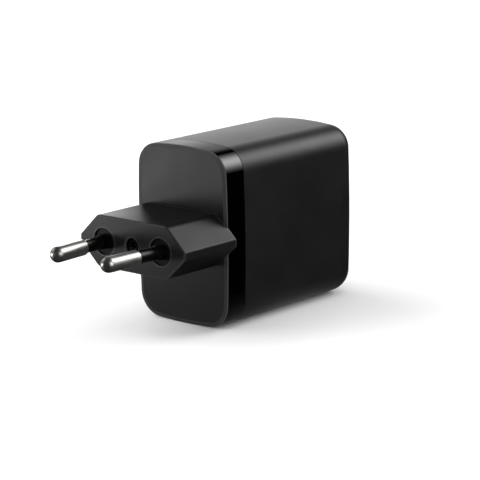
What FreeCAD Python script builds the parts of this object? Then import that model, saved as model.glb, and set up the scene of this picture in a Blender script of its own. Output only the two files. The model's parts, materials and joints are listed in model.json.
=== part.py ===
import FreeCAD, Part

import math
import os

from FreeCAD import Vector

# USB wall charger with a two-pin European plug, in millimetres.
#
# Frame: the origin is the centre of the plug's flat face, the one that meets the socket.
# +Z is up, +Y runs from the plug to the USB ports, and the pins point along -Y.
#
# Outer pieces, from the pins to the ports: plug block, front plate, gloss band, main shell, port panel.
# The circuit inside stands on a main board that lies along the -X side, so its parts rise towards +X.

# ---- plug ----
PLUG_WIDTH = 35.3
PLUG_HEIGHT = 13.4
PLUG_FLAT = 23.2  # width of the flat top and bottom of the hexagon
PLUG_TIP = 1.8  # height of the narrow flat at each side
PLUG_TIP_END = 19.0  # the side tips reach a little past the front plate's face
PLUG_RIDGE_R = 2.2
PLUG_TIP_R = 0.7
PLUG_FACE_R = 0.35
PLUG_FACE_WALL = 1.8
PLUG_CAVITY_WALL = 1.65
PLUG_CAVITY_WIDTH = 26.8

PIN_SPACING = 19.0
PIN_LENGTH = 19.0
PIN_TILT = 3.3  # degrees by which each pin leans towards the other
PIN_R = 2.0
PIN_METAL_START = 8.0  # along the pin, from the plug face
PIN_NECK_R = 1.2
PIN_FLANGE_R = 2.3
PIN_FLANGE_DEPTH = 3.0
PIN_FLANGE_THICKNESS = 2.0
PIN_TAIL_DEPTH = 9.0

SLEEVE_R = 1.6
SLEEVE_STEP_R = 1.75
SLEEVE_COLLAR_R = 1.9
SLEEVE_STEP_END = 2.8
SLEEVE_COLLAR_END = 1.6
SLIP = 0.03  # radial clearance of a moulded fit

SEAT_R = 3.5  # the round insulating seat that shows around each pin
SEAT_RECESS = 0.5
CARRIER_BACK = 8.0
SCREW_POCKET_R = 2.15
SCREW_POCKET_MOUTH = 0.25  # countersink around the pocket
SCREW_HEAD_R = 1.95
SCREW_HEAD_FRONT = 0.55
SCREW_HEAD_BACK = 2.4
SCREW_R = 1.0
SCREW_END = 15.0
SCREW_HEAD_ROUND = 0.7
SCREW_CROSS = (1.1, 0.28, 0.8)  # half length, half width and depth of each arm's slot
SCREW_BOSS_R = 2.75

# ---- body ----
BODY_WIDTH = 30.2
BODY_HEIGHT = 46.0
BODY_DEPTH = 53.0
BODY_Z = -0.35  # the body's middle is a little lower than the plug's
SIDE_BULGE = 0.55  # how far each long side bows out
END_BULGE = 1.1  # how far the top and the bottom bow out
CORNER_R = 6.3
LEAST_CORNER_R = 2.0
FRONT_RIM_WIDTH = 1.1  # the shallow bevel around the front plate
FRONT_RIM_DEPTH = 0.25
FRONT_RIM_R = 0.15
REAR_RIM_R = 5.5
WALL = 1.8
SEAM = 0.06
SEAM_BEVEL = 0.12

FRONT_Y = 18.5
REAR_Y = FRONT_Y + BODY_DEPTH
BAND_FRONT_Y = FRONT_Y + 0.38
BAND_REAR_Y = FRONT_Y + 7.0
PLATE_BACK_Y = FRONT_Y + 1.8
SPIGOT_END_Y = FRONT_Y + 8.8
SPIGOT_WALL = 1.2
WIRE_WINDOW_X = (4.0, 11.0)
WIRE_WINDOW_Z = 3.4

# ---- ports ----
PANEL_INSET = 6.2
PANEL_FLANGE_INSET = 5.1
PANEL_FLANGE = 1.2
PANEL_SINK = 0.3
PORT_BOARD_FRONT_Y = REAR_Y - 12.4
PORT_BOARD_THICKNESS = 1.0
PORT_MOUTH_Y = REAR_Y - 0.5
PORT_CLEARANCE = 0.15
PORT_SHEET = 0.3
USB_C_OUTER = (8.94, 3.16)
USB_C_Z = {"upper": 11.2, "lower": 1.2}
USB_C_TONGUE = (6.7, 0.7)
USB_C_PINS = 12
USB_C_PITCH = 0.5
USB_C_CONTACT = (0.26, 0.06)
USB_C_BASE = 3.6  # depth of the moulded block at the back of the port
USB_C_TONGUE_SET_BACK = 0.9
USB_A_OUTER = (13.1, 5.7)
USB_A_Z = -10.3
USB_A_TONGUE = (11.1, 1.84)
USB_A_PINS = 4
USB_A_PITCH = 2.25
USB_A_CONTACT = (1.0, 0.2)
USB_A_BASE = 2.4
USB_A_TONGUE_SET_BACK = 1.1
USB_A_TONGUE_Z = USB_A_Z + USB_A_OUTER[1] / 2 - PORT_SHEET - 0.45 - USB_A_TONGUE[1] / 2
USB_A_SPRING = (1.6, 5.2)  # width and length of each spring finger's window
USB_A_SPRING_X = 3.1
USB_A_SPRING_SLIT = (0.3, 0.6)  # slit beside and in front of each finger
USB_A_BEAD_R = 0.35
USB_A_CORNER_R = 0.5
USB_A_INNER_CORNER_R = 0.25

# ---- circuit ----
BOARD_X = (-11.3, -10.1)
BOARD_Y = (23.5, 58.4)
BOARD_HALF_Z = 17.5
BOARD_CORNER_R = 1.5
DECK = BOARD_X[1]  # the face of the main board that carries the parts
WIRE_R = 0.9
LEAD_R = 0.3
HEADER_PINS = 7
HEADER_PITCH = 2.0
HEADER_Z = 8.0
HEADER_HALF_SIDE = 0.3

CONTROL_BOARD_Y = (33.0, 57.6)
CONTROL_BOARD_Z = (4.8, 5.6)
CONTROL_BOARD_TOP = 7.0
# Each chip: its lowest x and y, its width along X, its length along Y, and its height off the board.
POWER_SWITCH = (-6.0, 34.5, 8.0, 7.0, 0.9)
CONTROLLERS = [(3.0, 34.0, 3.2, 4.6, 0.9), (-8.6, 42.5, 2.2, 2.6, 0.6)]

TRANSFORMER_YZ = (50.2, -6.8)
CORE_SIZE = (18.6, 14.0, 20.0)
CORE_FOOT = 0.6
CORE_PLATE = 3.5
CORE_LEG = 2.8
CORE_POST_R = 3.5
BOBBIN_BORE = CORE_POST_R + 0.1
BOBBIN_R = 4.3
BOBBIN_FLANGE_R = 7.0
BOBBIN_FLANGE = 0.8
PRIMARY_R = 5.5
SECONDARY_R = 6.7

BULK_CAPACITORS = {"front": (36.8, 11.5), "rear": (47.2, 11.5)}
BULK_R = 4.85
BULK_HEIGHT = 18.5
BULK_SLEEVE = (0.01, 0.12)  # how far the sleeve's inside and outside stand off the can
BUNG_HEIGHT = 1.6
BUNG_LEAD_SPACING = 5.0
CAN_WALL_FOOT = 0.4
CAN_EDGE_R = 0.5
CAN_GROOVE_X = 2.2
CAN_GROOVE = (0.35, 0.7)  # how far outside the can the groove's ring is centred, and its radius

OUTPUT_CAPACITOR_Y = 55.6
OUTPUT_CAPACITORS_Z = (9.25, 14.95)
OUTPUT_CAPACITOR = (2.75, 10.0)  # radius and height

X_CAPACITOR = ((DECK, 0.9), (24.6, 31.1), (4.2, 17.0))
Y_CAPACITOR_CENTRE = (DECK + 3.6, 40.9, -1.2)
Y_CAPACITOR = (3.2, 2.2)  # radius and thickness
Y_CAPACITOR_LEADS = 4.4  # spacing of the two leads
FUSE_Y = 25.4
FUSE_LEVEL = DECK + 2.0
FUSE_Z = (-6.4, 1.6)
FUSE_R = 1.6
FUSE_CAP = (1.8, 1.4)  # radius and length of each end cap
FUSE_CAP_OVERHANG = 0.8
THERMISTOR_CENTRE = (DECK + 3.2, 25.0, -13.0)
THERMISTOR = (2.8, 2.4)
THERMISTOR_LEADS = 3.2

CHOKE_CENTRE = (36.9, -11.4)
CHOKE_R = (2.6, 4.7)
CHOKE_FOOT = 1.0
CHOKE_HEIGHT = 5.0
CHOKE_WIRE = 0.7
CHOKE_TURNS = 6
CHOKE_TURN_STEP = 22.0  # degrees from one turn to the next

RECTIFIER_X = (DECK + 0.2, DECK + 1.9)
RECTIFIER_Y = (33.2, 38.4)
RECTIFIER_Z = (-4.8, 2.6)
RECTIFIER_LEADS_Z = (-3.4, 1.2)
RECTIFIER_LEAD = (0.7, 1.0, 1.0)  # height, length beside the body and width

SHEET_RIGHT_X = 11.15
SHEET_LEFT_X = -12.2
SHEET_THICKNESS = 0.2
WRAP_Y = (29.0, 58.0)
WRAP_Z = (-18.6, 17.0)
WRAP_CORNER_R = 2.0
SPREADER_X = {"left": (-12.85, -12.3), "right": (11.45, 12.0)}
SPREADER_Y = (29.0, 57.5)
SPREADER_HALF_Z = 15.5
PAD_HALF = (6.0, 8.0)

# The mains wires leave the pins' tails in line with them, then pass through these points to the board.
TAIL_RUN = 5.0
NEUTRAL_ROUTE = [(-8.2, 20.0, 1.0), (-4.4, 25.0, 1.6), (-4.6, 30.9, 0.8), (DECK, 30.9, 0.8)]
LIVE_ROUTE = [(8.2, 20.5, -0.8), (3.6, 26.0, -2.6), (-3.0, 29.3, -4.8), (DECK, 29.3, -4.8)]

X, Y, Z = Vector(1, 0, 0), Vector(0, 1, 0), Vector(0, 0, 1)


def box(x, y, z):
    """A block between two x, two y and two z values."""
    low = Vector(min(x), min(y), min(z))
    return Part.makeBox(max(x) - low.x, max(y) - low.y, max(z) - low.z, low)


def rod(start, direction, radius, length):
    return Part.makeCylinder(radius, length, start, direction)


def tube(start, direction, outer, inner, length):
    return rod(start, direction, outer, length).cut(rod(start, direction, inner, length))


def joined(shapes):
    whole = shapes[0].fuse(shapes[1:]) if len(shapes) > 1 else shapes[0]
    return whole.removeSplitter()


def edges_at_y(shape, y):
    """The edges that lie wholly in the plane at y."""
    return [e for e in shape.Edges if max(abs(e.BoundBox.YMin - y), abs(e.BoundBox.YMax - y)) < 1e-4]


def runs_along(edge, axis):
    """True for a straight edge parallel to an axis."""
    if not isinstance(edge.Curve, Part.Line):
        return False
    return abs(abs(edge.tangentAt(edge.FirstParameter).dot(axis)) - 1) < 1e-6


def edges_along(shape, axis):
    """The straight edges parallel to an axis."""
    return [edge for edge in shape.Edges if runs_along(edge, axis)]


def about(middle, half):
    """The two values that lie half to each side of a middle."""
    return middle - half, middle + half


def rounded_box(x, y, z, axis, radius):
    """A block whose four edges along one axis are rounded."""
    block = box(x, y, z)
    return block.makeFillet(radius, edges_along(block, axis))


# ---- sections ----


def arc_radius(half_chord, bulge):
    """The radius of an arc that rises by bulge over a chord."""
    return (half_chord**2 + bulge**2) / (2 * bulge)


def section_corner(inset):
    """Where the bowed side and the bowed top meet, before the corner is rounded."""
    side_r = arc_radius(BODY_HEIGHT / 2 - END_BULGE, SIDE_BULGE)
    end_r = arc_radius(BODY_WIDTH / 2 - SIDE_BULGE, END_BULGE)
    side_centre, end_centre = side_r - BODY_WIDTH / 2, end_r - BODY_HEIGHT / 2
    apart = math.hypot(side_centre, end_centre)
    along = ((side_r - inset) ** 2 - (end_r - inset) ** 2 + apart**2) / (2 * apart)
    across = math.sqrt((side_r - inset) ** 2 - along**2)
    x = (along * side_centre + across * end_centre) / apart - side_centre
    z = (across * side_centre - along * end_centre) / apart
    return x, z


def slab(y_from, y_to, inset=0.0):
    """The body's section, drawn in by inset, between two y values."""
    x, z = section_corner(inset)
    half_w, half_h = BODY_WIDTH / 2 - inset, BODY_HEIGHT / 2 - inset
    corners = [(x, -z), (x, z), (-x, z), (-x, -z)]
    middles = [(half_w, 0), (0, half_h), (-half_w, 0), (0, -half_h)]
    sides = []
    for i, middle in enumerate(middles):
        points = [Vector(px, y_from, pz + BODY_Z) for px, pz in (corners[i], middle, corners[(i + 1) % 4])]
        sides.append(Part.Arc(*points).toShape())
    sharp = Part.Face(Part.Wire(sides)).extrude(Vector(0, y_to - y_from, 0))
    return sharp.makeFillet(max(CORNER_R - inset, LEAST_CORNER_R), edges_along(sharp, Y))


def section_wire(y, inset=0.0):
    """The outline of the body's section at y."""
    return Part.Wire(Part.sortEdges(edges_at_y(slab(y, y + 1, inset), y))[0])


def hexagon(y_from, y_to, width, height, flat, tip, ridge_r=0.0, tip_r=0.0):
    """The plug's long hexagon, with a narrow flat at each side, as a prism along Y."""
    half_w, half_h, half_flat, half_tip = width / 2, height / 2, flat / 2, tip / 2
    quarter = [(half_w, half_tip), (half_flat, half_h)]
    points = quarter + [(-x, z) for x, z in reversed(quarter)]
    points += [(-x, -z) for x, z in points]
    corners = [Vector(x, y_from, z) for x, z in points]
    prism = Part.Face(Part.makePolygon(corners + corners[:1])).extrude(Vector(0, y_to - y_from, 0))
    if ridge_r:
        ridges = [e for e in edges_along(prism, Y) if abs(e.BoundBox.Center.z) > (half_tip + half_h) / 2]
        prism = prism.makeFillet(ridge_r, ridges)
    if tip_r:
        tips = [e for e in edges_along(prism, Y) if abs(e.BoundBox.Center.x) > (half_flat + half_w) / 2]
        prism = prism.makeFillet(tip_r, tips)
    return prism


def stadium(y_from, y_to, width, height, z):
    """A flat bar with fully round ends, along Y, centred on x = 0."""
    centre_x = (width - height) / 2
    ends = [rod(Vector(side * centre_x, y_from, z), Y, height / 2, y_to - y_from) for side in (-1, 1)]
    middle = box((-centre_x, centre_x), (y_from, y_to), (z - height / 2, z + height / 2))
    return joined([middle] + ends)


# ---- plug ----


def pin_frame(side):
    """The point where a pin's axis crosses the plug face, and its outward direction."""
    lean = math.radians(PIN_TILT)
    return Vector(side * PIN_SPACING / 2, 0, 0), Vector(-side * math.sin(lean), -math.cos(lean), 0)


def on_pin(side, radius, start, end):
    """A cylinder on a pin's axis, between two distances from the plug face."""
    base, outward = pin_frame(side)
    return rod(base + outward * start, outward, radius, end - start)


def pin(side):
    """Plated brass pin: domed tip, neck under the sleeve, flange and tail inside the carrier."""
    base, outward = pin_frame(side)
    dome_centre = PIN_LENGTH - PIN_R
    shank = on_pin(side, PIN_R, PIN_METAL_START, dome_centre)
    dome = Part.makeSphere(PIN_R, base + outward * dome_centre)
    neck = on_pin(side, PIN_NECK_R, -PIN_TAIL_DEPTH, PIN_METAL_START)
    flange_end = PIN_FLANGE_DEPTH + PIN_FLANGE_THICKNESS
    flange = on_pin(side, PIN_FLANGE_R, -flange_end, -PIN_FLANGE_DEPTH)
    return joined([shank, dome, neck, flange])


def sleeve(side):
    """Insulating sleeve that covers the inner part of the pin, with a stepped collar at its foot."""
    outer = joined([
        on_pin(side, SLEEVE_R, -PIN_FLANGE_DEPTH + SLIP, PIN_METAL_START - SLIP),
        on_pin(side, SLEEVE_STEP_R, -PIN_FLANGE_DEPTH + SLIP, SLEEVE_STEP_END),
        on_pin(side, SLEEVE_COLLAR_R, -PIN_FLANGE_DEPTH + SLIP, SLEEVE_COLLAR_END),
    ])
    return outer.cut(on_pin(side, PIN_NECK_R + SLIP, -PIN_TAIL_DEPTH, PIN_METAL_START))


def pin_passage(side):
    """The space that a pin and its sleeve take in the carrier."""
    flange_end = PIN_FLANGE_DEPTH + PIN_FLANGE_THICKNESS
    return joined([
        on_pin(side, SLEEVE_COLLAR_R + SLIP, -PIN_FLANGE_DEPTH, SLEEVE_STEP_END),
        on_pin(side, PIN_FLANGE_R + SLIP, -flange_end - SLIP, -PIN_FLANGE_DEPTH + SLIP),
        on_pin(side, PIN_NECK_R + SLIP, -PIN_TAIL_DEPTH - 1, 0),
    ])


def cavity_prism(y_from, y_to, shrink=0.0):
    """The hollow of the plug block, or a prism that fits it with shrink to spare on every side."""
    return hexagon(
        y_from, y_to,
        PLUG_CAVITY_WIDTH - 2 * shrink,
        PLUG_HEIGHT - 2 * (PLUG_CAVITY_WALL + shrink),
        PLUG_CAVITY_WIDTH - 8.0 - 2 * shrink,
        PLUG_TIP + 1.0 - shrink,
        ridge_r=0.8,
    )


def plug_block():
    """Moulded plug housing: a long hexagon, hollow from behind, with holes for the seats and the screw."""
    block = hexagon(0, PLUG_TIP_END, PLUG_WIDTH, PLUG_HEIGHT, PLUG_FLAT, PLUG_TIP, PLUG_RIDGE_R, PLUG_TIP_R)
    block = block.makeFillet(PLUG_FACE_R, edges_at_y(block, 0.0))
    behind = slab(FRONT_Y - SEAM, PLUG_TIP_END + 1, -SEAM)
    holes = [rod(pin_frame(side)[0], Y, SEAT_R + SLIP, PLUG_FACE_WALL) for side in (-1, 1)]
    holes.append(rod(Vector(), Y, SCREW_POCKET_R, PLUG_FACE_WALL))
    mouth_r = SCREW_POCKET_R + SCREW_POCKET_MOUTH
    holes.append(Part.makeCone(mouth_r, SCREW_POCKET_R, SCREW_POCKET_MOUTH, Vector(), Y))
    return block.cut([behind, cavity_prism(PLUG_FACE_WALL, PLUG_TIP_END)] + holes)


def pin_carrier():
    """Insulating bar that holds both pins; its round seats reach through the plug's face."""
    bar = cavity_prism(PLUG_FACE_WALL + SEAM, CARRIER_BACK, shrink=0.15)
    seats = [
        rod(pin_frame(side)[0] + Y * SEAT_RECESS, Y, SEAT_R, PLUG_FACE_WALL + 1 - SEAT_RECESS)
        for side in (-1, 1)
    ]
    head_seat = rod(Y * (PLUG_FACE_WALL - 1), Y, SCREW_POCKET_R, SCREW_HEAD_BACK - PLUG_FACE_WALL + 1)
    shank_hole = rod(Vector(), Y, SCREW_R + 0.15, CARRIER_BACK)
    return joined([bar] + seats).cut([pin_passage(-1), pin_passage(1), head_seat, shank_hole])


def plug_screw():
    """Pan-head screw that clamps the plug block and carrier to the front plate."""
    head = rod(Y * SCREW_HEAD_FRONT, Y, SCREW_HEAD_R, SCREW_HEAD_BACK - SCREW_HEAD_FRONT)
    head = head.makeFillet(SCREW_HEAD_ROUND, edges_at_y(head, SCREW_HEAD_FRONT))
    shank = rod(Y * SCREW_HEAD_BACK, Y, SCREW_R, SCREW_END - SCREW_HEAD_BACK)
    arm, half_slot, depth = SCREW_CROSS
    span = (SCREW_HEAD_FRONT - 1, SCREW_HEAD_FRONT + depth)
    across = box((-arm, arm), span, (-half_slot, half_slot))
    upright = box((-half_slot, half_slot), span, (-arm, arm))
    return joined([head, shank]).cut([across, upright])


# ---- body ----


def front_plate():
    """Cap at the plug end: a thin plate with a soft rim, a spigot inside the band, and the screw boss."""
    edge_y = FRONT_Y + FRONT_RIM_DEPTH
    bevel = Part.makeLoft([section_wire(FRONT_Y, FRONT_RIM_WIDTH), section_wire(edge_y)], True, True)
    face = joined([bevel, slab(edge_y, BAND_FRONT_Y)])
    face = face.makeFillet(FRONT_RIM_R, edges_at_y(face, edge_y))
    spigot_inset = WALL + SEAM
    backing = slab(BAND_FRONT_Y, PLATE_BACK_Y, spigot_inset)
    spigot = slab(BAND_FRONT_Y, SPIGOT_END_Y, spigot_inset)
    spigot = spigot.cut(slab(BAND_FRONT_Y, SPIGOT_END_Y, spigot_inset + SPIGOT_WALL))
    boss_front = CARRIER_BACK + SEAM
    boss = rod(Y * boss_front, Y, SCREW_BOSS_R, PLATE_BACK_Y - boss_front)
    through, window_z = (FRONT_Y - 1, PLATE_BACK_Y + 1), (-WIRE_WINDOW_Z, WIRE_WINDOW_Z)
    windows = [box([side * x for x in WIRE_WINDOW_X], through, window_z) for side in (-1, 1)]
    screw_hole = rod(Y * boss_front, Y, SCREW_R + SLIP, SCREW_END + 0.5 - boss_front)
    return joined([face, backing, spigot, boss]).cut(windows + [screw_hole])


def gloss_band():
    """Polished ring between the front plate and the main shell."""
    front, back = BAND_FRONT_Y + SEAM, BAND_REAR_Y
    ring = slab(front, back).cut(slab(front, back, WALL))
    return ring.makeChamfer(SEAM_BEVEL / 2, outer_edges(ring, front) + outer_edges(ring, back))


def outer_edges(shape, y):
    """The edges in the plane at y that lie on the body's outside, not on an inner wall."""
    core = slab(y - 1, y + 1, WALL / 2)
    return [e for e in edges_at_y(shape, y) if core.distToShape(e)[0] > WALL / 4]


def main_shell():
    """Matte sleeve of the body, with a rounded rear end and a window for the port panel."""
    front = BAND_REAR_Y + SEAM
    shell = slab(front, REAR_Y)
    shell = shell.makeFillet(REAR_RIM_R, edges_at_y(shell, REAR_Y))
    hollow = slab(front, REAR_Y - WALL, WALL)
    hollow = hollow.makeFillet(REAR_RIM_R - WALL, edges_at_y(hollow, REAR_Y - WALL))
    shell = shell.cut([hollow, slab(REAR_Y - WALL - 1, REAR_Y + 1, PANEL_INSET)])
    return shell.makeChamfer(SEAM_BEVEL, outer_edges(shell, front))


def port_panel():
    """Plate around the ports, held in the shell's window by a flange behind it."""
    face_y = REAR_Y - PANEL_SINK
    flange_y = REAR_Y - WALL - SEAM
    face = slab(flange_y, face_y, PANEL_INSET + SEAM)
    face = face.makeFillet(0.2, edges_at_y(face, face_y))
    flange = slab(flange_y - PANEL_FLANGE, flange_y, PANEL_FLANGE_INSET)
    through = (flange_y - PANEL_FLANGE - 1, REAR_Y + 1)
    width, height = (size + 2 * PORT_CLEARANCE for size in USB_C_OUTER)
    slots = [stadium(*through, width, height, z) for z in USB_C_Z.values()]
    slots.append(usb_a_block(through, -PORT_CLEARANCE, USB_A_CORNER_R))
    return joined([face, flange]).cut(slots)


# ---- ports ----


def port_board():
    """Upright board that carries the three ports."""
    return slab(PORT_BOARD_FRONT_Y, PORT_BOARD_FRONT_Y + PORT_BOARD_THICKNESS, 3.0)


def usb_c_shell(z):
    """Drawn steel shell of a USB-C port, open at its mouth."""
    back = PORT_BOARD_FRONT_Y + PORT_BOARD_THICKNESS
    outer = stadium(back, PORT_MOUTH_Y, USB_C_OUTER[0], USB_C_OUTER[1], z)
    inner = stadium(back, PORT_MOUTH_Y, USB_C_OUTER[0] - 2 * PORT_SHEET, USB_C_OUTER[1] - 2 * PORT_SHEET, z)
    return outer.cut(inner)


def usb_c_insulator(z):
    """Moulded block and thin tongue inside a USB-C port."""
    back = PORT_BOARD_FRONT_Y + PORT_BOARD_THICKNESS
    inset = 2 * (PORT_SHEET + SLIP)
    base = stadium(back, back + USB_C_BASE, USB_C_OUTER[0] - inset, USB_C_OUTER[1] - inset, z)
    half_w, half_h = USB_C_TONGUE[0] / 2, USB_C_TONGUE[1] / 2
    tip = PORT_MOUTH_Y - USB_C_TONGUE_SET_BACK
    tongue = rounded_box((-half_w, half_w), (back, tip), (z - half_h, z + half_h), Z, 0.3)
    return joined([base, tongue])


def evenly(count, pitch):
    """Places a pitch apart, centred on 0."""
    return [(i - (count - 1) / 2) * pitch for i in range(count)]


def contact_row(count, pitch, width, y, z):
    """A row of flat contact strips side by side along X."""
    return [box(about(x, width / 2), y, z) for x in evenly(count, pitch)]


def usb_c_contacts(z):
    """Twelve contacts on each face of the tongue."""
    width, thickness = USB_C_CONTACT
    half_h = USB_C_TONGUE[1] / 2
    start = PORT_BOARD_FRONT_Y + PORT_BOARD_THICKNESS + USB_C_BASE
    span = (start, PORT_MOUTH_Y - USB_C_TONGUE_SET_BACK - 0.5)
    rows = []
    for face in (-1, 1):
        level = (z + face * half_h, z + face * (half_h + thickness))
        rows += contact_row(USB_C_PINS, USB_C_PITCH, width, span, level)
    return Part.makeCompound(rows)


def usb_a_block(span, inset, corner_r):
    """A block the size of the USB-A port's outside, drawn in by inset."""
    half_w, half_h = (size / 2 - inset for size in USB_A_OUTER)
    return rounded_box(about(0, half_w), span, about(USB_A_Z, half_h), Y, corner_r)


def usb_a_shell():
    """Folded steel shell of the USB-A port, with two spring windows in its top and in its bottom."""
    span = (PORT_BOARD_FRONT_Y + PORT_BOARD_THICKNESS, PORT_MOUTH_Y)
    outer = usb_a_block(span, 0, USB_A_CORNER_R)
    shell = outer.cut(usb_a_block(span, PORT_SHEET, USB_A_INNER_CORNER_R))
    width, length = USB_A_SPRING
    beside, ahead = USB_A_SPRING_SLIT
    window_y = (PORT_MOUTH_Y - 2.0 - length, PORT_MOUTH_Y - 2.0)
    finger_y = (window_y[0] + ahead, window_y[1])
    half_h = USB_A_OUTER[1] / 2
    windows, fingers = [], []
    for x in (-USB_A_SPRING_X, USB_A_SPRING_X):
        windows.append(box(about(x, width / 2), window_y, about(USB_A_Z, half_h + 1)))
        for face in (-1, 1):
            wall_z = (USB_A_Z + face * half_h, USB_A_Z + face * (half_h - PORT_SHEET))
            fingers.append(box(about(x, width / 2 - beside), finger_y, wall_z))
    return joined([shell.cut(windows)] + fingers)


def usb_a_insulator():
    """Moulded block and thick tongue inside the USB-A port."""
    back = PORT_BOARD_FRONT_Y + PORT_BOARD_THICKNESS
    base = usb_a_block((back, back + USB_A_BASE), PORT_SHEET + SLIP, USB_A_INNER_CORNER_R)
    half_w, half_h = (size / 2 for size in USB_A_TONGUE)
    tip = PORT_MOUTH_Y - USB_A_TONGUE_SET_BACK
    tongue = box(about(0, half_w), (back, tip), about(USB_A_TONGUE_Z, half_h))
    tongue = tongue.makeChamfer(0.4, edges_at_y(tongue, tip))
    return joined([base, tongue])


def usb_a_contacts():
    """Four spring contacts under the tongue, each a strip with a raised bead."""
    width, thickness = USB_A_CONTACT
    under = USB_A_TONGUE_Z - USB_A_TONGUE[1] / 2
    start = PORT_BOARD_FRONT_Y + PORT_BOARD_THICKNESS + USB_A_BASE
    end = PORT_MOUTH_Y - USB_A_TONGUE_SET_BACK - 0.6
    strips = contact_row(USB_A_PINS, USB_A_PITCH, width, (start, end), (under - thickness, under))
    tongue = box((-BODY_WIDTH, BODY_WIDTH), (start - 1, end + 1), (under, under + 1))
    contacts = []
    for x, strip in zip(evenly(USB_A_PINS, USB_A_PITCH), strips):
        bead = rod(Vector(x - width / 2, end - 1.6, under - thickness), X, USB_A_BEAD_R, width)
        contacts.append(joined([strip, bead.cut(tongue)]))
    return Part.makeCompound(contacts)


# ---- circuit ----


def main_board():
    """Glass-epoxy board that carries the circuit."""
    return rounded_box(BOARD_X, BOARD_Y, (-BOARD_HALF_Z, BOARD_HALF_Z), X, BOARD_CORNER_R)


def control_board():
    """Small board that stands on the main board, between the transformer and the capacitors."""
    return box((DECK, CONTROL_BOARD_TOP), CONTROL_BOARD_Y, CONTROL_BOARD_Z)


def chips_on_control_board(chips):
    """Flat packages on the side of the control board that faces the transformer."""
    return Part.makeCompound([
        box((x, x + width), (y, y + length), (CONTROL_BOARD_Z[0] - height, CONTROL_BOARD_Z[0]))
        for x, y, width, length, height in chips
    ])


def board_pins():
    """Header pins that join the main board to the port board."""
    x = about(sum(BOARD_X) / 2, HEADER_HALF_SIDE)
    gap = (BOARD_Y[1], PORT_BOARD_FRONT_Y)
    return Part.makeCompound([
        box(x, gap, about(HEADER_Z + z, HEADER_HALF_SIDE))
        for z in evenly(HEADER_PINS, HEADER_PITCH)
    ])


def transformer_axis(x):
    return Vector(x, TRANSFORMER_YZ[0], TRANSFORMER_YZ[1])


def core_half(upper):
    """One E-shaped ferrite half: a plate, two outer legs and half of the round post."""
    height, depth, width = CORE_SIZE
    bottom = DECK + CORE_FOOT
    middle, top = bottom + height / 2, bottom + height
    y, z = TRANSFORMER_YZ
    plate_x = (top - CORE_PLATE, top) if upper else (bottom, bottom + CORE_PLATE)
    leg_x = (middle + SEAM / 2, top) if upper else (bottom, middle - SEAM / 2)
    span_y = about(y, depth / 2)
    plate = box(plate_x, span_y, about(z, width / 2))
    legs = [
        box(leg_x, span_y, (z + side * (width / 2 - CORE_LEG), z + side * width / 2))
        for side in (-1, 1)
    ]
    post = rod(transformer_axis(leg_x[0]), X, CORE_POST_R, leg_x[1] - leg_x[0])
    return joined([plate, post] + legs)


def winding_window():
    """The x values between which the bobbin fits."""
    bottom = DECK + CORE_FOOT + CORE_PLATE
    return bottom + SEAM, bottom + CORE_SIZE[0] - 2 * CORE_PLATE - SEAM


def transformer_bobbin():
    """Flanged spool on the core's round post."""
    low, high = winding_window()
    spool = rod(transformer_axis(low), X, BOBBIN_R, high - low)
    flanges = [
        rod(transformer_axis(x), X, BOBBIN_FLANGE_R, BOBBIN_FLANGE)
        for x in (low, high - BOBBIN_FLANGE)
    ]
    return joined([spool] + flanges).cut(rod(transformer_axis(low), X, BOBBIN_BORE, high - low))


def winding(inner, outer):
    """A ring of wire and tape between the bobbin's flanges."""
    low, high = winding_window()
    start = low + BOBBIN_FLANGE + SEAM
    return tube(transformer_axis(start), X, outer, inner, high - low - 2 * (BOBBIN_FLANGE + SEAM))


def bulk_can(y, z):
    """Aluminium can of a bulk capacitor, with its crimp groove."""
    foot = DECK + CAN_WALL_FOOT
    can = rod(Vector(foot, y, z), X, BULK_R, BULK_HEIGHT)
    can = can.makeFillet(CAN_EDGE_R, [e for e in can.Edges if e.BoundBox.XMin > foot + BULK_HEIGHT / 2])
    ring_out, ring_r = CAN_GROOVE
    groove = Part.makeTorus(BULK_R + ring_out, ring_r, Vector(foot + CAN_GROOVE_X, y, z), X)
    return can.cut([groove, rod(Vector(foot, y, z), X, BULK_R - 0.5, BUNG_HEIGHT)])


def bulk_sleeve(y, z):
    """Shrink sleeve around a bulk capacitor's can."""
    start = DECK + CAN_WALL_FOOT + CAN_GROOVE_X + 1.0
    length = BULK_HEIGHT - CAN_GROOVE_X - 1.8
    inside, outside = (BULK_R + off for off in BULK_SLEEVE)
    return tube(Vector(start, y, z), X, outside, inside, length)


def bulk_bungs():
    """Rubber bungs at the feet of the bulk capacitors, with their leads."""
    bungs = []
    for y, z in BULK_CAPACITORS.values():
        bung = rod(Vector(DECK + CAN_WALL_FOOT, y, z), X, BULK_R - 0.55, BUNG_HEIGHT - 0.05)
        leads = [
            rod(Vector(DECK, lead_y, z), X, LEAD_R, CAN_WALL_FOOT + 0.5)
            for lead_y in about(y, BUNG_LEAD_SPACING / 2)
        ]
        bungs.append(joined([bung] + leads))
    return Part.makeCompound(bungs)


def output_capacitors():
    """Two polymer capacitors beside the port board."""
    radius, height = OUTPUT_CAPACITOR
    cans = []
    for z in OUTPUT_CAPACITORS_Z:
        can = rod(Vector(DECK, OUTPUT_CAPACITOR_Y, z), X, radius, height)
        cans.append(can.makeFillet(0.4, [e for e in can.Edges if e.BoundBox.XMin > DECK + height / 2]))
    return Part.makeCompound(cans)


def x_capacitor():
    """Box-shaped mains filter capacitor."""
    return rounded_box(*X_CAPACITOR, X, 0.4)


def y_capacitor():
    """Disc capacitor across the isolation gap."""
    centre = Vector(*Y_CAPACITOR_CENTRE)
    radius, thickness = Y_CAPACITOR
    disc = rod(centre, Y, radius, thickness)
    rims = edges_at_y(disc, centre.y) + edges_at_y(disc, centre.y + thickness)
    disc = disc.makeFillet(0.9, rims)
    return joined([disc] + disc_leads(centre, thickness, Y_CAPACITOR_LEADS))


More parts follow.
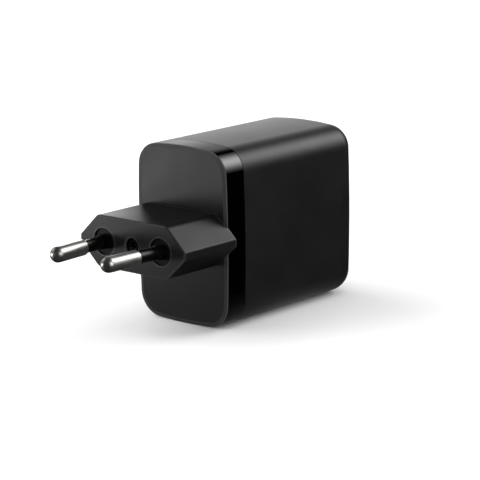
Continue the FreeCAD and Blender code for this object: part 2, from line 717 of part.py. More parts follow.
def disc_leads(centre, thickness, spacing):
    """The two leads from the board up into a disc that stands on its rim."""
    return [
        rod(Vector(DECK, centre.y + thickness / 2, z), X, LEAD_R, centre.x - DECK)
        for z in about(centre.z, spacing / 2)
    ]


def fuse():
    """Round mains fuse with two end caps."""
    low, high = FUSE_Z
    cap_r, cap_length = FUSE_CAP
    body = rod(Vector(FUSE_LEVEL, FUSE_Y, low), Z, FUSE_R, high - low)
    cap_feet = (low - FUSE_CAP_OVERHANG, high + FUSE_CAP_OVERHANG - cap_length)
    caps = [rod(Vector(FUSE_LEVEL, FUSE_Y, z), Z, cap_r, cap_length) for z in cap_feet]
    return joined([body] + caps)


def thermistor():
    """Disc that limits the inrush current."""
    centre = Vector(*THERMISTOR_CENTRE)
    radius, thickness = THERMISTOR
    disc = rod(centre, Y, radius, thickness)
    return joined([disc] + disc_leads(centre, thickness, THERMISTOR_LEADS))


def choke_foot():
    return Vector(DECK + CHOKE_FOOT, *CHOKE_CENTRE)


def choke_core():
    """Ferrite ring of the common-mode choke."""
    return tube(choke_foot(), X, CHOKE_R[1], CHOKE_R[0], CHOKE_HEIGHT)


def choke_windings():
    """Copper turns on both sides of the choke's ring."""
    foot = choke_foot()
    inner, outer = CHOKE_R
    hole_x = (foot.x - SEAM, foot.x + CHOKE_HEIGHT + SEAM)
    hole_y = (foot.y + inner - SEAM, foot.y + outer + SEAM)
    hole = box(hole_x, hole_y, about(foot.z, CHOKE_WIRE))
    loop_x = (hole_x[0] - CHOKE_WIRE, hole_x[1] + CHOKE_WIRE)
    loop_y = (hole_y[0] - CHOKE_WIRE, hole_y[1] + CHOKE_WIRE)
    turn = box(loop_x, loop_y, about(foot.z, CHOKE_WIRE / 2)).cut(hole)
    turns = []
    for bank in (0, 180):
        for angle in evenly(CHOKE_TURNS, CHOKE_TURN_STEP):
            turns.append(turn.copy())
            turns[-1].rotate(foot, X, bank + angle)
    return Part.makeCompound(turns)


def bridge_rectifier():
    """Flat package with four gull-wing leads."""
    body = box(RECTIFIER_X, RECTIFIER_Y, RECTIFIER_Z)
    height, length, width = RECTIFIER_LEAD
    low, high = RECTIFIER_Y
    leads = [
        box((DECK, DECK + height), y, about(z, width / 2))
        for z in RECTIFIER_LEADS_Z
        for y in ((low - length, low), (high, high + length))
    ]
    return joined([body] + leads)


def heat_spreader(x):
    """Thin metal plate that carries heat to the long side of the case."""
    return rounded_box(x, SPREADER_Y, (-SPREADER_HALF_Z, SPREADER_HALF_Z), X, 2.0)


def insulation_wrap():
    """Folded plastic sheet around three sides of the circuit."""
    thin, radius = SHEET_THICKNESS, WRAP_CORNER_R
    left, right = SHEET_LEFT_X, SHEET_RIGHT_X + thin
    bottom, top = WRAP_Z
    closed_top = top + 3 * radius
    outer = rounded_box((left, right), WRAP_Y, (bottom, closed_top), Y, radius)
    inner_z = (bottom + thin, closed_top - thin)
    inner = rounded_box((left + thin, right - thin), WRAP_Y, inner_z, Y, radius - thin)
    above = box((left - 1, right + 1), (WRAP_Y[0] - 1, WRAP_Y[1] + 1), (top, closed_top + 1))
    return outer.cut([inner, above])


def thermal_pad():
    """Soft pad between the transformer and the sheet."""
    top = DECK + CORE_FOOT + CORE_SIZE[0]
    y, z = (about(*pair) for pair in zip(TRANSFORMER_YZ, PAD_HALF))
    return rounded_box((top, SHEET_RIGHT_X), y, z, X, 1.0)


def wire(route):
    """Round insulated wire along straight runs joined by tangent arcs."""
    points = [Vector(*point) for point in route]
    edges, start = [], points[0]
    for before, corner, after in zip(points, points[1:], points[2:]):
        back, ahead = before - corner, after - corner
        turn = math.pi - back.getAngle(ahead)
        radius = 0.45 * min(back.Length, ahead.Length) / math.tan(turn / 2)
        trim = radius * math.tan(turn / 2)
        back.normalize()
        ahead.normalize()
        enter, leave = corner + back * trim, corner + ahead * trim
        inward = (back + ahead).normalize()
        middle = corner + inward * (radius / math.cos(turn / 2) - radius)
        edges.append(Part.LineSegment(start, enter).toShape())
        edges.append(Part.Arc(enter, middle, leave).toShape())
        start = leave
    edges.append(Part.LineSegment(start, points[-1]).toShape())
    path = Part.Wire(edges)
    section = Part.Wire(Part.makeCircle(WIRE_R, points[0], points[1] - points[0]))
    return path.makePipeShell([section], True, False)


def mains_wire(side, route):
    """From the end of a pin's tail, straight back in line with it, and along a route to the main board."""
    base, outward = pin_frame(side)
    tail = base - outward * PIN_TAIL_DEPTH
    return wire([tail, tail - outward * TAIL_RUN] + route)


def parts():
    """Every node of the charger, by name."""
    made = {
        "main_shell": main_shell(),
        "gloss_band": gloss_band(),
        "front_plate": front_plate(),
        "plug_block": plug_block(),
        "pin_carrier": pin_carrier(),
        "plug_screw": plug_screw(),
        "port_panel": port_panel(),
        "port_board": port_board(),
        "usb_a_shell": usb_a_shell(),
        "usb_a_insulator": usb_a_insulator(),
        "usb_a_contacts": usb_a_contacts(),
        "main_board": main_board(),
        "control_board": control_board(),
        "board_pins": board_pins(),
        "transformer_core_lower": core_half(upper=False),
        "transformer_core_upper": core_half(upper=True),
        "transformer_bobbin": transformer_bobbin(),
        "transformer_primary": winding(BOBBIN_R + SLIP, PRIMARY_R),
        "transformer_secondary": winding(PRIMARY_R + SLIP, SECONDARY_R),
        "bulk_capacitor_bungs": bulk_bungs(),
        "output_capacitors": output_capacitors(),
        "x_capacitor": x_capacitor(),
        "y_capacitor": y_capacitor(),
        "fuse": fuse(),
        "thermistor": thermistor(),
        "choke_core": choke_core(),
        "choke_windings": choke_windings(),
        "bridge_rectifier": bridge_rectifier(),
        "power_switch": chips_on_control_board([POWER_SWITCH]),
        "controller_chips": chips_on_control_board(CONTROLLERS),
        "insulation_wrap": insulation_wrap(),
        "thermal_pad": thermal_pad(),
        "neutral_wire": mains_wire(-1, NEUTRAL_ROUTE),
        "live_wire": mains_wire(1, LIVE_ROUTE),
    }
    for name, side in (("left", -1), ("right", 1)):
        made[f"pin_{name}"] = pin(side)
        made[f"sleeve_{name}"] = sleeve(side)
        made[f"heat_spreader_{name}"] = heat_spreader(SPREADER_X[name])
    for name, z in USB_C_Z.items():
        made[f"usb_c_{name}_shell"] = usb_c_shell(z)
        made[f"usb_c_{name}_insulator"] = usb_c_insulator(z)
        made[f"usb_c_{name}_contacts"] = usb_c_contacts(z)
    for name, (y, z) in BULK_CAPACITORS.items():
        made[f"bulk_capacitor_{name}_can"] = bulk_can(y, z)
        made[f"bulk_capacitor_{name}_sleeve"] = bulk_sleeve(y, z)
    return made


os.makedirs("parts", exist_ok=True)
for node, shape in parts().items():
    if not shape.isValid():
        raise ValueError(f"{node} is not a valid shape")
    shape.exportStep(f"parts/{node}.step")
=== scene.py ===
import json
import math

import bpy
from mathutils import Matrix, Vector


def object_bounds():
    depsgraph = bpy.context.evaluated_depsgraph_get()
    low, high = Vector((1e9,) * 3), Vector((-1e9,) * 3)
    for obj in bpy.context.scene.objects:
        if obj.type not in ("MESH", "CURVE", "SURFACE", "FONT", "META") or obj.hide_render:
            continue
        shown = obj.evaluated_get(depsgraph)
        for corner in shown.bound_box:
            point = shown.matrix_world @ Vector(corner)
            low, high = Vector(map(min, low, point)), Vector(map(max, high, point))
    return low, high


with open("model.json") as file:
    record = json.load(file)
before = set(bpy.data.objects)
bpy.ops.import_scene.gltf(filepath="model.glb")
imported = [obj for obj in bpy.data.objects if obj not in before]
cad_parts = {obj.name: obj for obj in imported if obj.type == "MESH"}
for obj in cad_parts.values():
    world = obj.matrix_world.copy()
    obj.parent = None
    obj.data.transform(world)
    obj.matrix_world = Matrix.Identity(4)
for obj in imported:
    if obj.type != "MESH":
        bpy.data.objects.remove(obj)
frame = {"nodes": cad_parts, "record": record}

MM = 0.001
CAD_LOW, CAD_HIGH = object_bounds()
MIDDLE = (CAD_LOW + CAD_HIGH) / 2
FLOOR_Z = CAD_LOW.z

# Camera: angles in degrees about the object's middle, and how far it aims beside that middle.
CAMERA_AZIMUTH = 40.82
CAMERA_ELEVATION = 13.01
CAMERA_ROLL = -0.70
CAMERA_DISTANCE = 556.4 * MM
CAMERA_LENS = 163.6
SENSOR_WIDTH = 36.0
CLIP_NEAR = 0.01
CLIP_FAR = 50.0
AIM_RIGHT = 9.57 * MM
AIM_UP = -2.67 * MM

# Studio: FLOOR_HALF in metres, and the panels' distances and sizes in millimetres.
WORLD_STRENGTH = 0.83
FLOOR_HALF = 12.0
FLOOR_WHITE = 0.92
FLOOR_GLOW_RISE = 0.3
FADE_SPAN = 3.4  # side of a fading panel, in reaches
PANEL_MIDDLE = (0.5, 0.5, 0.0)  # on a panel's face, which runs from 0 to 1 both ways
FILL_DISTANCE = 1200
FILL_SIDE = 1600

# Plastic: the shades of its cloudy patches, as parts of its colour.
PATCH_LOW = 0.85
PATCH_HIGH = 1.15

# Colours, as linear red, green and blue.
BLACK = (0.006, 0.006, 0.0062)
INK = (0.0004, 0.0004, 0.0005)
NICKEL = (0.62, 0.61, 0.59)
STEEL = (0.56, 0.56, 0.57)

# Ways that fine lines run, as stretches for object_place.
TURNED = (0.02, 1.0, 0.02)  # rings round an axis that runs along Y
ROLLED = (1.0, 0.03, 1.0)  # lines along Y
DRAWN_UP = (0.03, 1.0, 1.0)  # lines along X, the way the cans stand


# ---- shader helpers ----


def node(tree, kind, inputs=None, **settings):
    """Adds a shader node; an input is a value or another node's output."""
    made = tree.nodes.new(kind)
    for name, value in settings.items():
        setattr(made, name, value)
    for name, value in (inputs or {}).items():
        if isinstance(value, bpy.types.NodeSocket):
            tree.links.new(value, made.inputs[name])
        else:
            made.inputs[name].default_value = value
    return made


def grey(value):
    """An opaque grey."""
    return (value, value, value, 1.0)


def scaled(colour, factor):
    """The colour, factor times as bright."""
    return tuple(part * factor for part in colour)


def object_place(tree, stretch=(1.0, 1.0, 1.0)):
    """The point on the object in metres; a small stretch along an axis draws a pattern out along it."""
    place = node(tree, "ShaderNodeTexCoord").outputs["Object"]
    return node(tree, "ShaderNodeMapping", {"Vector": place, "Scale": stretch}).outputs["Vector"]


def object_facing(tree, axis):
    """How far the surface faces along an axis of the object, from -1 to 1."""
    facing = node(tree, "ShaderNodeTexCoord").outputs["Normal"]
    return node(tree, "ShaderNodeSeparateXYZ", {"Vector": facing}).outputs[axis]


def noise(tree, place, size, detail=2.0):
    """Noise whose lumps are about size metres across."""
    settings = {"Vector": place, "Scale": 1.0 / size, "Detail": detail}
    return node(tree, "ShaderNodeTexNoise", settings).outputs["Fac"]


def cells(tree, place, size):
    """The distance to the nearest of many scattered points, in units of their spacing."""
    return node(tree, "ShaderNodeTexVoronoi", {"Vector": place, "Scale": 1.0 / size}).outputs["Distance"]


def lines(tree, place, pitch, axis, wobble=0.3):
    """Even ridges pitch metres apart along an axis, as 0 to 1."""
    settings = {"Vector": place, "Scale": math.pi / (10 * pitch), "Distortion": wobble, "Detail": 1.0}
    return node(tree, "ShaderNodeTexWave", settings, bands_direction=axis).outputs["Fac"]


def spread(tree, factor, low, high, start=0.3, end=0.7):
    """Maps a pattern between start and end onto low to high; noise mostly lies between 0.3 and 0.7."""
    settings = {"Value": factor, "From Min": start, "From Max": end, "To Min": low, "To Max": high}
    return node(tree, "ShaderNodeMapRange", settings).outputs["Result"]


def tint(tree, factor, dark, light):
    """A colour between dark and light, by a factor between 0 and 1."""
    mix = node(tree, "ShaderNodeMix", data_type="RGBA")
    tree.links.new(factor, mix.inputs["Factor"])
    mix.inputs["A"].default_value = (*dark, 1.0)
    mix.inputs["B"].default_value = (*light, 1.0)
    return mix.outputs["Result"]


def operation_node(tree, kind, operation, first, second):
    """A node that works on two inputs, each a value or another node's output."""
    made = node(tree, kind, operation=operation)
    for socket, value in zip(made.inputs, (first, second)):
        if isinstance(value, bpy.types.NodeSocket):
            tree.links.new(value, socket)
        else:
            socket.default_value = value
    return made


def math_node(tree, operation, first, second):
    """The number that an operation on two numbers gives."""
    return operation_node(tree, "ShaderNodeMath", operation, first, second).outputs["Value"]


def vector_math(tree, operation, first, second):
    """The vector that an operation on two vectors gives."""
    return operation_node(tree, "ShaderNodeVectorMath", operation, first, second).outputs["Vector"]


def dot_product(tree, first, second):
    """How alike two directions are, from -1 to 1, or a vector's length squared."""
    return operation_node(tree, "ShaderNodeVectorMath", "DOT_PRODUCT", first, second).outputs["Value"]


def bump(tree, height, depth, under=None):
    """Bump from a height of 0 to 1 that stands for depth metres."""
    made = node(tree, "ShaderNodeBump", {"Height": height, "Distance": depth})
    if under:
        tree.links.new(under, made.inputs["Normal"])
    return made.outputs["Normal"]


def sharp_edges(tree, radius):
    """About 1 along sharp edges, and 0 on open faces."""
    rounded = node(tree, "ShaderNodeBevel", {"Radius": radius}).outputs["Normal"]
    flat = node(tree, "ShaderNodeNewGeometry").outputs["Normal"]
    return spread(tree, dot_product(tree, rounded, flat), 1.0, 0.0, start=0.9, end=0.995)


def material(name, make):
    """A material whose nodes are made by a function that returns the Principled shader's inputs."""
    made = bpy.data.materials.new(name)
    made.use_nodes = True
    tree = made.node_tree
    tree.nodes.clear()
    shader = node(tree, "ShaderNodeBsdfPrincipled", make(tree))
    node(tree, "ShaderNodeOutputMaterial", {"Surface": shader.outputs[0]})
    return made


# ---- materials: each function returns the inputs of a Principled shader ----


def moulded_plastic(tree, colour, rough, ior=1.38, grain=0.16 * MM, depth=0.0015 * MM, scuff=1.5):
    """Moulded plastic: fine etched grain, uneven polish, and edges rubbed smooth; the edges are also made
    paler by the given factor, part rubbed wear and part painted highlight along the edges.
    """
    place = object_place(tree)
    patches = noise(tree, place, 9 * MM, 3.0)
    fine = noise(tree, place, grain, 3.0)
    uneven = spread(tree, patches, rough * 0.94, rough * 1.06)
    edges = sharp_edges(tree, 0.5 * MM)
    worn = spread(tree, edges, 1.0, 0.86, start=0.0, end=1.0)
    cloudy = spread(tree, patches, 0.0, (PATCH_HIGH - PATCH_LOW) / (scuff - PATCH_LOW))
    # Paler edges: part rubbed wear and part painted highlight along the edges, strongest where the factor
    # is large.
    paleness = math_node(tree, "MAXIMUM", edges, cloudy)
    return {
        "Base Color": tint(tree, paleness, scaled(colour, PATCH_LOW), scaled(colour, scuff)),
        "Roughness": math_node(tree, "MULTIPLY", uneven, worn),
        "Normal": bump(tree, fine, depth),
        "IOR": ior,
    }


def top_sheen_plastic(tree, colour, rough, bloom):
    """Moulded plastic with a painted sheen on its upper side, which makes the top go pale at a glancing
    angle.
    """
    inputs = moulded_plastic(tree, colour, rough)
    # Painted sheen: sheen is given only to faces that point up, to make the top paler as the light falling
    # on it would.
    inputs["Sheen Weight"] = spread(tree, object_facing(tree, "Z"), 0.0, bloom, start=0.8, end=0.97)
    inputs["Sheen Roughness"] = 0.35
    return inputs


def rimmed_plastic(tree, colour, rough, rim):
    """Moulded plastic with a flat face towards -Y, and a painted highlight on its rim: the rim is made the
    given number of times paler where it turns away.
    """
    inputs = moulded_plastic(tree, colour, rough)
    turned_away = spread(tree, object_facing(tree, "Y"), 0.0, 1.0, start=-0.995, end=-0.93)
    # Painted highlight: the rim's colour is made paler, standing in for the light its rounded edge
    # catches.
    inputs["Base Color"] = tint(tree, turned_away, colour, scaled(colour, rim))
    return inputs


def polished_plastic(tree, colour, rough):
    """Mirror-polished plastic: a very slight ripple, and hairline scratches along and across."""
    ripple = noise(tree, object_place(tree), 6 * MM, 1.0)
    along = noise(tree, object_place(tree, (1.0, 0.03, 1.0)), 0.09 * MM, 1.0)
    across = noise(tree, object_place(tree, (0.04, 1.0, 0.05)), 0.07 * MM, 1.0)
    scratches = math_node(tree, "MAXIMUM", along, across)
    return {
        "Base Color": (*colour, 1.0),
        "Roughness": spread(tree, scratches, rough, rough * 2.2, start=0.66, end=0.8),
        "Normal": bump(tree, scratches, 0.00003 * MM, bump(tree, ripple, 0.0015 * MM)),
        "IOR": 1.5,
    }


def drawn_metal(
    tree, colour, rough, stretch, line=0.05 * MM, depth=0.0012 * MM, stain=0.9, metallic=1.0
):
    """Metal with fine lines along the way it was drawn, turned or rolled, and faint cloudy stains."""
    marks = noise(tree, object_place(tree, stretch), line, 3.0)
    clouds = noise(tree, object_place(tree), 2.5 * MM, 4.0)
    uneven = spread(tree, clouds, rough * 0.88, rough * 1.15)
    worn = spread(tree, sharp_edges(tree, 0.15 * MM), 1.0, 0.8, start=0.0, end=1.0)
    return {
        "Base Color": tint(tree, spread(tree, clouds, 0.0, 1.0), scaled(colour, stain), colour),
        "Roughness": math_node(tree, "MULTIPLY", uneven, worn),
        "Metallic": metallic,
        "Normal": bump(tree, marks, depth),
    }


def solder_plating(tree):
    """Tinned posts: dull and lumpy where the solder froze."""
    place = object_place(tree)
    lumps = noise(tree, place, 0.35 * MM, 3.0)
    return {
        "Base Color": tint(tree, lumps, (0.42, 0.42, 0.43), (0.66, 0.66, 0.67)),
        "Roughness": spread(tree, noise(tree, place, 0.12 * MM), 0.24, 0.5),
        "Metallic": 1.0,
        "Normal": bump(tree, lumps, 0.02 * MM),
    }


def enamelled_wire(tree, pitch=0.32 * MM):
    """Copper wire wound side by side under amber enamel."""
    place = object_place(tree)
    turns = lines(tree, place, pitch, "X")
    shade = math_node(tree, "MULTIPLY", turns, noise(tree, place, 1.5 * MM))
    # Painted glint and shade: each turn is paler on its crest and darker in the grooves between turns.
    crest_glint = spread(tree, shade, 0.0, 1.0, start=0.0, end=0.5)
    return {
        "Base Color": tint(tree, crest_glint, (0.16, 0.035, 0.010), (0.62, 0.22, 0.07)),
        "Roughness": spread(tree, noise(tree, place, 0.4 * MM), 0.20, 0.34),
        "Metallic": 0.85,
        "Coat Weight": 0.6,
        "Coat Roughness": 0.1,
        "Normal": bump(tree, turns, 0.05 * MM),
    }


def winding_tape(tree, width=3.2 * MM):
    """Yellow polyester tape wrapped over windings, whose turns show through as soft ridges."""
    place = object_place(tree)
    ridges = lines(tree, place, 0.45 * MM, "X", 0.8)
    overlap = lines(tree, place, width, "X", 0.2)
    edge = spread(tree, overlap, 0.0, 1.0, start=0.9, end=0.95)
    return {
        "Base Color": tint(tree, edge, (0.78, 0.52, 0.055), (0.52, 0.31, 0.025)),
        "Roughness": spread(tree, noise(tree, place, 1.2 * MM), 0.24, 0.42),
        "IOR": 1.55,
        "Subsurface Weight": 0.1,
        "Subsurface Radius": (0.4 * MM, 0.25 * MM, 0.1 * MM),
        "Normal": bump(tree, edge, 0.03 * MM, bump(tree, ridges, 0.012 * MM)),
    }


def speckled(tree, dark, light, rough, speck, depth):
    """Fired, pressed or filled material: bright specks in a darker ground, and shallow pits."""
    place = object_place(tree)
    specks = cells(tree, place, speck)
    clouds = noise(tree, place, 2.5 * MM, 3.0)
    bright = spread(tree, specks, 1.0, 0.0, start=0.1, end=0.6)
    shade = math_node(tree, "MULTIPLY", bright, clouds)
    return {
        "Base Color": tint(tree, shade, dark, light),
        "Roughness": spread(tree, clouds, rough * 0.85, rough * 1.15),
        "Normal": bump(tree, specks, depth, bump(tree, clouds, depth * 3)),
    }


def dipped(tree, dark, light, rough, lump=0.8 * MM, depth=0.02 * MM, coat=0.0):
    """Dipped, shrunk or moulded skin with a soft orange-peel surface and dusty patches."""
    place = object_place(tree)
    peel = noise(tree, place, lump, 1.0)
    dust = noise(tree, place, 3 * MM, 5.0)
    return {
        "Base Color": tint(tree, spread(tree, dust, 0.0, 1.0), dark, light),
        "Roughness": spread(tree, dust, rough * 0.8, rough * 1.25),
        "Coat Weight": coat,
        "Coat Roughness": 0.08,
        "Normal": bump(tree, noise(tree, place, lump / 6), depth / 12, bump(tree, peel, depth)),
    }


def circuit_board(tree):
    """Green solder mask over a glass weave, with the shallow relief of copper tracks beneath it."""
    place = object_place(tree)
    warp = lines(tree, place, 0.5 * MM, "Y", 0.1)
    weft = lines(tree, place, 0.5 * MM, "Z", 0.1)
    weave = math_node(tree, "MAXIMUM", warp, weft)
    blocks = {"Vector": place, "Scale": 1 / (2.6 * MM), "Randomness": 0.7}
    tracks = node(tree, "ShaderNodeTexVoronoi", blocks, distance="CHEBYCHEV").outputs["Distance"]
    copper = spread(tree, tracks, 0.0, 1.0, start=0.42, end=0.45)
    return {
        "Base Color": tint(tree, copper, (0.010, 0.060, 0.022), (0.022, 0.135, 0.045)),
        "Roughness": spread(tree, weave, 0.26, 0.36, start=0.0, end=1.0),
        "IOR": 1.55,
        "Normal": bump(tree, weave, 0.006 * MM, bump(tree, copper, 0.035 * MM)),
    }


def insulating_film(tree):
    """Stiff milky film, creased softly where it was folded round the parts."""
    place = object_place(tree)
    creases = noise(tree, object_place(tree, (1.0, 0.25, 1.0)), 5 * MM, 2.0)
    haze = noise(tree, place, 1.0 * MM, 4.0)
    return {
        "Base Color": tint(tree, haze, (0.66, 0.68, 0.70), (0.82, 0.83, 0.84)),
        "Roughness": spread(tree, haze, 0.28, 0.42),
        "Subsurface Weight": 0.2,
        "Subsurface Radius": (1.0 * MM, 1.0 * MM, 1.2 * MM),
        "Normal": bump(tree, creases, 0.12 * MM, bump(tree, haze, 0.004 * MM)),
    }


def finish(recipe, **values):
    """A recipe from above with its values, which still has to be given a node tree."""
    return lambda tree: recipe(tree, **values)


FINISHES = {
    # The shell's top carries a painted sheen.
    "shell_matte": finish(top_sheen_plastic, colour=scaled(BLACK, 1.5), rough=0.35, bloom=0.3),
    # Rim 14 times paler: a painted highlight round the plate.
    "plate_matte": finish(rimmed_plastic, colour=BLACK, rough=0.40, rim=14),
    # Edges 13 times paler: a painted highlight along the plug block's edges.
    "plug_matte": finish(moulded_plastic, colour=BLACK, rough=0.41, scuff=13),
    # Seats 0.4 times the black: part a darker insert plastic, part painted shade round the pins' bases.
    "seat_matte": finish(moulded_plastic, colour=scaled(BLACK, 0.4), rough=0.42, ior=1.2),
    "sleeve_black": finish(
        moulded_plastic, colour=scaled(BLACK, 0.25), rough=0.28, ior=1.45, depth=0.0005 * MM
    ),
    "band_gloss": finish(polished_plastic, colour=INK, rough=0.05),
    "pin_nickel": finish(
        drawn_metal, colour=NICKEL, rough=0.33, stretch=TURNED,
        line=0.3 * MM, depth=0.0001 * MM, metallic=0.97,
    ),
    "port_steel": finish(drawn_metal, colour=STEEL, rough=0.28, stretch=ROLLED),
    "screw_steel": finish(drawn_metal, colour=(0.022, 0.022, 0.023), rough=0.45, stretch=TURNED),
    "contact_gold": finish(
        drawn_metal, colour=(0.78, 0.56, 0.23), rough=0.24, stretch=ROLLED, stain=0.8
    ),
    "can_aluminium": finish(drawn_metal, colour=(0.68, 0.69, 0.70), rough=0.30, stretch=DRAWN_UP),
    "heat_aluminium": finish(
        drawn_metal, colour=(0.60, 0.61, 0.62), rough=0.42, stretch=ROLLED,
        line=0.12 * MM, depth=0.003 * MM,
    ),
    "pin_tin": solder_plating,
    "copper": enamelled_wire,
    "tape_yellow": winding_tape,
    "board_green": circuit_board,
    "wrap_film": insulating_film,
    "port_insulator": finish(
        moulded_plastic, colour=(0.012, 0.012, 0.013), rough=0.40, ior=1.5, grain=0.1 * MM
    ),
    "bobbin_black": finish(
        moulded_plastic, colour=(0.020, 0.019, 0.018), rough=0.45, ior=1.5,
        grain=0.3 * MM, depth=0.004 * MM,
    ),
    "fuse_brown": finish(
        moulded_plastic, colour=(0.090, 0.040, 0.018), rough=0.35, ior=1.5,
        grain=0.3 * MM, depth=0.003 * MM,
    ),
    "ferrite": finish(
        speckled, dark=(0.025, 0.025, 0.028), light=(0.11, 0.11, 0.12), rough=0.5,
        speck=0.12 * MM, depth=0.01 * MM,
    ),
    "chip_black": finish(
        speckled, dark=(0.013, 0.013, 0.014), light=(0.050, 0.050, 0.052), rough=0.55,
        speck=0.06 * MM, depth=0.004 * MM,
    ),
    "pad_grey": finish(
        speckled, dark=(0.20, 0.22, 0.25), light=(0.42, 0.45, 0.50), rough=0.65,
        speck=0.15 * MM, depth=0.01 * MM,
    ),
    "thermistor_black": finish(
        dipped, dark=(0.012, 0.012, 0.013), light=(0.030, 0.029, 0.028), rough=0.45
    ),
    "disc_blue": finish(
        dipped, dark=(0.012, 0.085, 0.28), light=(0.022, 0.13, 0.38), rough=0.3, coat=0.4
    ),
    "film_capacitor": finish(
        dipped, dark=(0.32, 0.035, 0.020), light=(0.42, 0.055, 0.030), rough=0.35,
        lump=1.2 * MM, depth=0.01 * MM,
    ),
    "can_sleeve": finish(
        dipped, dark=(0.010, 0.016, 0.045), light=(0.018, 0.026, 0.065), rough=0.28,
        lump=2 * MM, coat=0.5,
    ),
    "bung_rubber": finish(
        dipped, dark=(0.018, 0.017, 0.017), light=(0.040, 0.038, 0.037), rough=0.7, lump=0.3 * MM
    ),
    "wire_blue": finish(
        dipped, dark=(0.010, 0.060, 0.33), light=(0.018, 0.090, 0.42), rough=0.4, lump=1.5 * MM
    ),
    "wire_brown": finish(
        dipped, dark=(0.065, 0.026, 0.011), light=(0.095, 0.040, 0.018), rough=0.4, lump=1.5 * MM
    ),
}


def dress_parts():
    """Gives every piece of the frame the finish of its material slot."""
    finishes = {name: material(name, make) for name, make in FINISHES.items()}
    for part in frame["record"]["subparts"]:
        shown = frame["nodes"][part["node"]]
        shown.data.materials.clear()
        shown.data.materials.append(finishes[part["material_slot"]])


# ---- studio ----


def direction(azimuth, elevation):
    """The way from the object to a point at these angles; azimuth 0 is the pins' side, 90 the right."""
    turn = math.radians(azimuth)
    rise = math.radians(elevation)
    return Vector((math.sin(turn) * math.cos(rise), -math.cos(turn) * math.cos(rise), math.sin(rise)))


def add_camera():
    """The camera, aimed a little beside the object's middle."""
    back = direction(CAMERA_AZIMUTH, CAMERA_ELEVATION)
    roll = Matrix.Rotation(math.radians(CAMERA_ROLL), 3, "Z")
    turn = back.to_track_quat("Z", "Y").to_matrix() @ roll
    aim = MIDDLE + turn @ Vector((AIM_RIGHT, AIM_UP, 0.0))
    data = bpy.data.cameras.new("camera")
    data.lens = CAMERA_LENS
    data.sensor_width = SENSOR_WIDTH
    data.clip_start = CLIP_NEAR
    data.clip_end = CLIP_FAR
    camera = bpy.data.objects.new("camera", data)
    camera.matrix_world = Matrix.Translation(aim + back * CAMERA_DISTANCE) @ turn.to_4x4()
    bpy.context.scene.collection.objects.link(camera)
    bpy.context.scene.camera = camera


def soften(data, size, reach):
    """Makes a panel's face fade away from its middle, to about a third at the reach."""
    data.use_nodes = True
    tree = data.node_tree
    tree.nodes.clear()
    place = node(tree, "ShaderNodeNewGeometry").outputs["Parametric"]
    offset = vector_math(tree, "SUBTRACT", place, PANEL_MIDDLE)
    in_reaches = vector_math(tree, "MULTIPLY", offset, (size[0] / reach[0], size[1] / reach[1], 0.0))
    square = dot_product(tree, in_reaches, in_reaches)
    strength = math_node(tree, "POWER", math.exp(-1), square)
    face = node(tree, "ShaderNodeEmission", {"Strength": strength})
    node(tree, "ShaderNodeOutputLight", {"Surface": face.outputs[0]})


def add_softbox(name, place, away, size, radiance, reach=None, mirrored=True):
    """A soft panel whose back is turned to the way away; size and reach are in millimetres."""
    data = bpy.data.lights.new(name, "AREA")
    data.shape = "RECTANGLE"
    data.size = size[0] * MM
    data.size_y = size[1] * MM
    data.energy = radiance * math.pi * data.size * data.size_y
    if reach:
        soften(data, size, reach)
    light = bpy.data.objects.new(name, data)
    light.location = place
    light.rotation_mode = "QUATERNION"
    light.rotation_quaternion = away.to_track_quat("Z", "Y")
    light.visible_camera = False
    light.visible_glossy = mirrored
    bpy.context.scene.collection.objects.link(light)


def glow(name, azimuth, elevation, distance, reach, radiance):
    """A panel that faces the object and fades out towards its edges; reach is in degrees."""
    away = direction(azimuth, elevation)
    reach = tuple(distance * math.tan(math.radians(angle)) for angle in reach)
    size = tuple(FADE_SPAN * side for side in reach)
    return {
        "name": name,
        "place": MIDDLE + away * distance * MM,
        "away": away,
        "size": size,
        "radiance": radiance,
        "reach": reach,
    }


def floor_glow(name, x, y, reach, radiance):
    """Light that comes back up from a patch of the floor, in millimetres from the object's middle."""
    return {
        "name": name,
        "place": Vector((MIDDLE.x + x * MM, MIDDLE.y + y * MM, FLOOR_Z + FLOOR_GLOW_RISE * MM)),
        "away": Vector((0, 0, -1)),
        "size": tuple(FADE_SPAN * side for side in reach),
        "radiance": radiance,
        "reach": reach,
    }


def fill(name, azimuth, elevation, radiance):
    """A wide even panel that lights the object without being mirrored in it."""
    away = direction(azimuth, elevation)
    return {
        "name": name,
        "place": MIDDLE + away * FILL_DISTANCE * MM,
        "away": away,
        "size": (FILL_SIDE, FILL_SIDE),
        "radiance": radiance,
        "mirrored": False,
    }


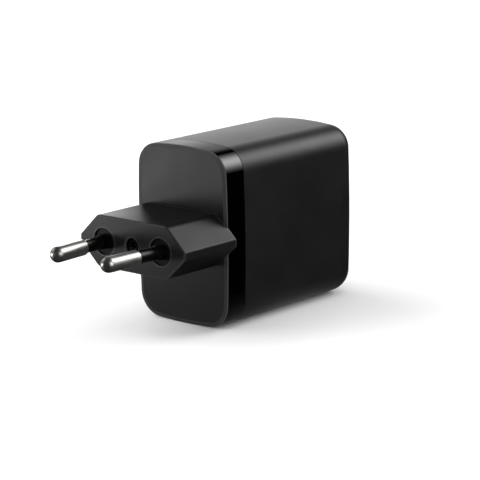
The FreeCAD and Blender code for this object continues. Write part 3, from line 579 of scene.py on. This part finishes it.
SOFTBOXES = [
    # azimuth and elevation in degrees, distance in millimetres, reach both ways in degrees, radiance
    glow("back_right", 152, 32, 900, (17, 18), 6.5),
    glow("right", 86, 28, 900, (16, 12), 2.0),
    glow("back_left", -148, 28, 600, (14, 8), 0.4),
    glow("back_left_low", -139, 11, 400, (20, 9), 0.85),
    glow("near_back_left", -124, 9, 160, (4, 8), 10.0),
    glow("left", -84, 33, 900, (15, 12), 1.5),
    glow("front_left", -50, 8, 400, (20, 10), 0.5),
    glow("near_front_left", -46, -3, 160, (10, 6), 11.0),
    glow("near_right", 80, 12, 150, (17, 15), 2.2),
    # place on the floor and reach both ways in millimetres, radiance
    floor_glow("floor_under", 0, 22, (20, 26), 0.35),
    # azimuth and elevation in degrees, radiance
    fill("fill_left", -62, 20, 3.4),
    fill("fill_front", 0, 25, 0.4),
    fill("fill_right", 80, 10, 0.1),
    fill("fill_top", -60, 80, 1.1),
    fill("fill_back", 175, 25, 0.5),
]


def add_floor():
    """A plain pale floor, which isn't mirrored in the object."""
    quarters = ((-1, -1), (1, -1), (1, 1), (-1, 1))
    corners = [(x * FLOOR_HALF, y * FLOOR_HALF, FLOOR_Z) for x, y in quarters]
    mesh = bpy.data.meshes.new("floor")
    mesh.from_pydata(corners, [], [(0, 1, 2, 3)])
    made = bpy.data.materials.new("floor")
    made.use_nodes = True
    made.node_tree.nodes.clear()
    paper = node(made.node_tree, "ShaderNodeBsdfDiffuse", {"Color": grey(FLOOR_WHITE)})
    node(made.node_tree, "ShaderNodeOutputMaterial", {"Surface": paper.outputs[0]})
    mesh.materials.append(made)
    floor = bpy.data.objects.new("floor", mesh)
    floor.visible_glossy = False
    bpy.context.scene.collection.objects.link(floor)


def add_world():
    """The white that the camera sees beyond the floor; it lights nothing."""
    world = bpy.data.worlds.new("studio")
    world.use_nodes = True
    tree = world.node_tree
    tree.nodes.clear()
    room = node(tree, "ShaderNodeBackground", {"Color": grey(1.0), "Strength": WORLD_STRENGTH})
    node(tree, "ShaderNodeOutputWorld", {"Surface": room.outputs[0]})
    world.cycles_visibility.glossy = False
    world.cycles_visibility.diffuse = False
    bpy.context.scene.world = world


dress_parts()
add_camera()
add_floor()
add_world()
for softbox in SOFTBOXES:
    add_softbox(**softbox)
bpy.context.scene.view_settings.view_transform = "Standard"
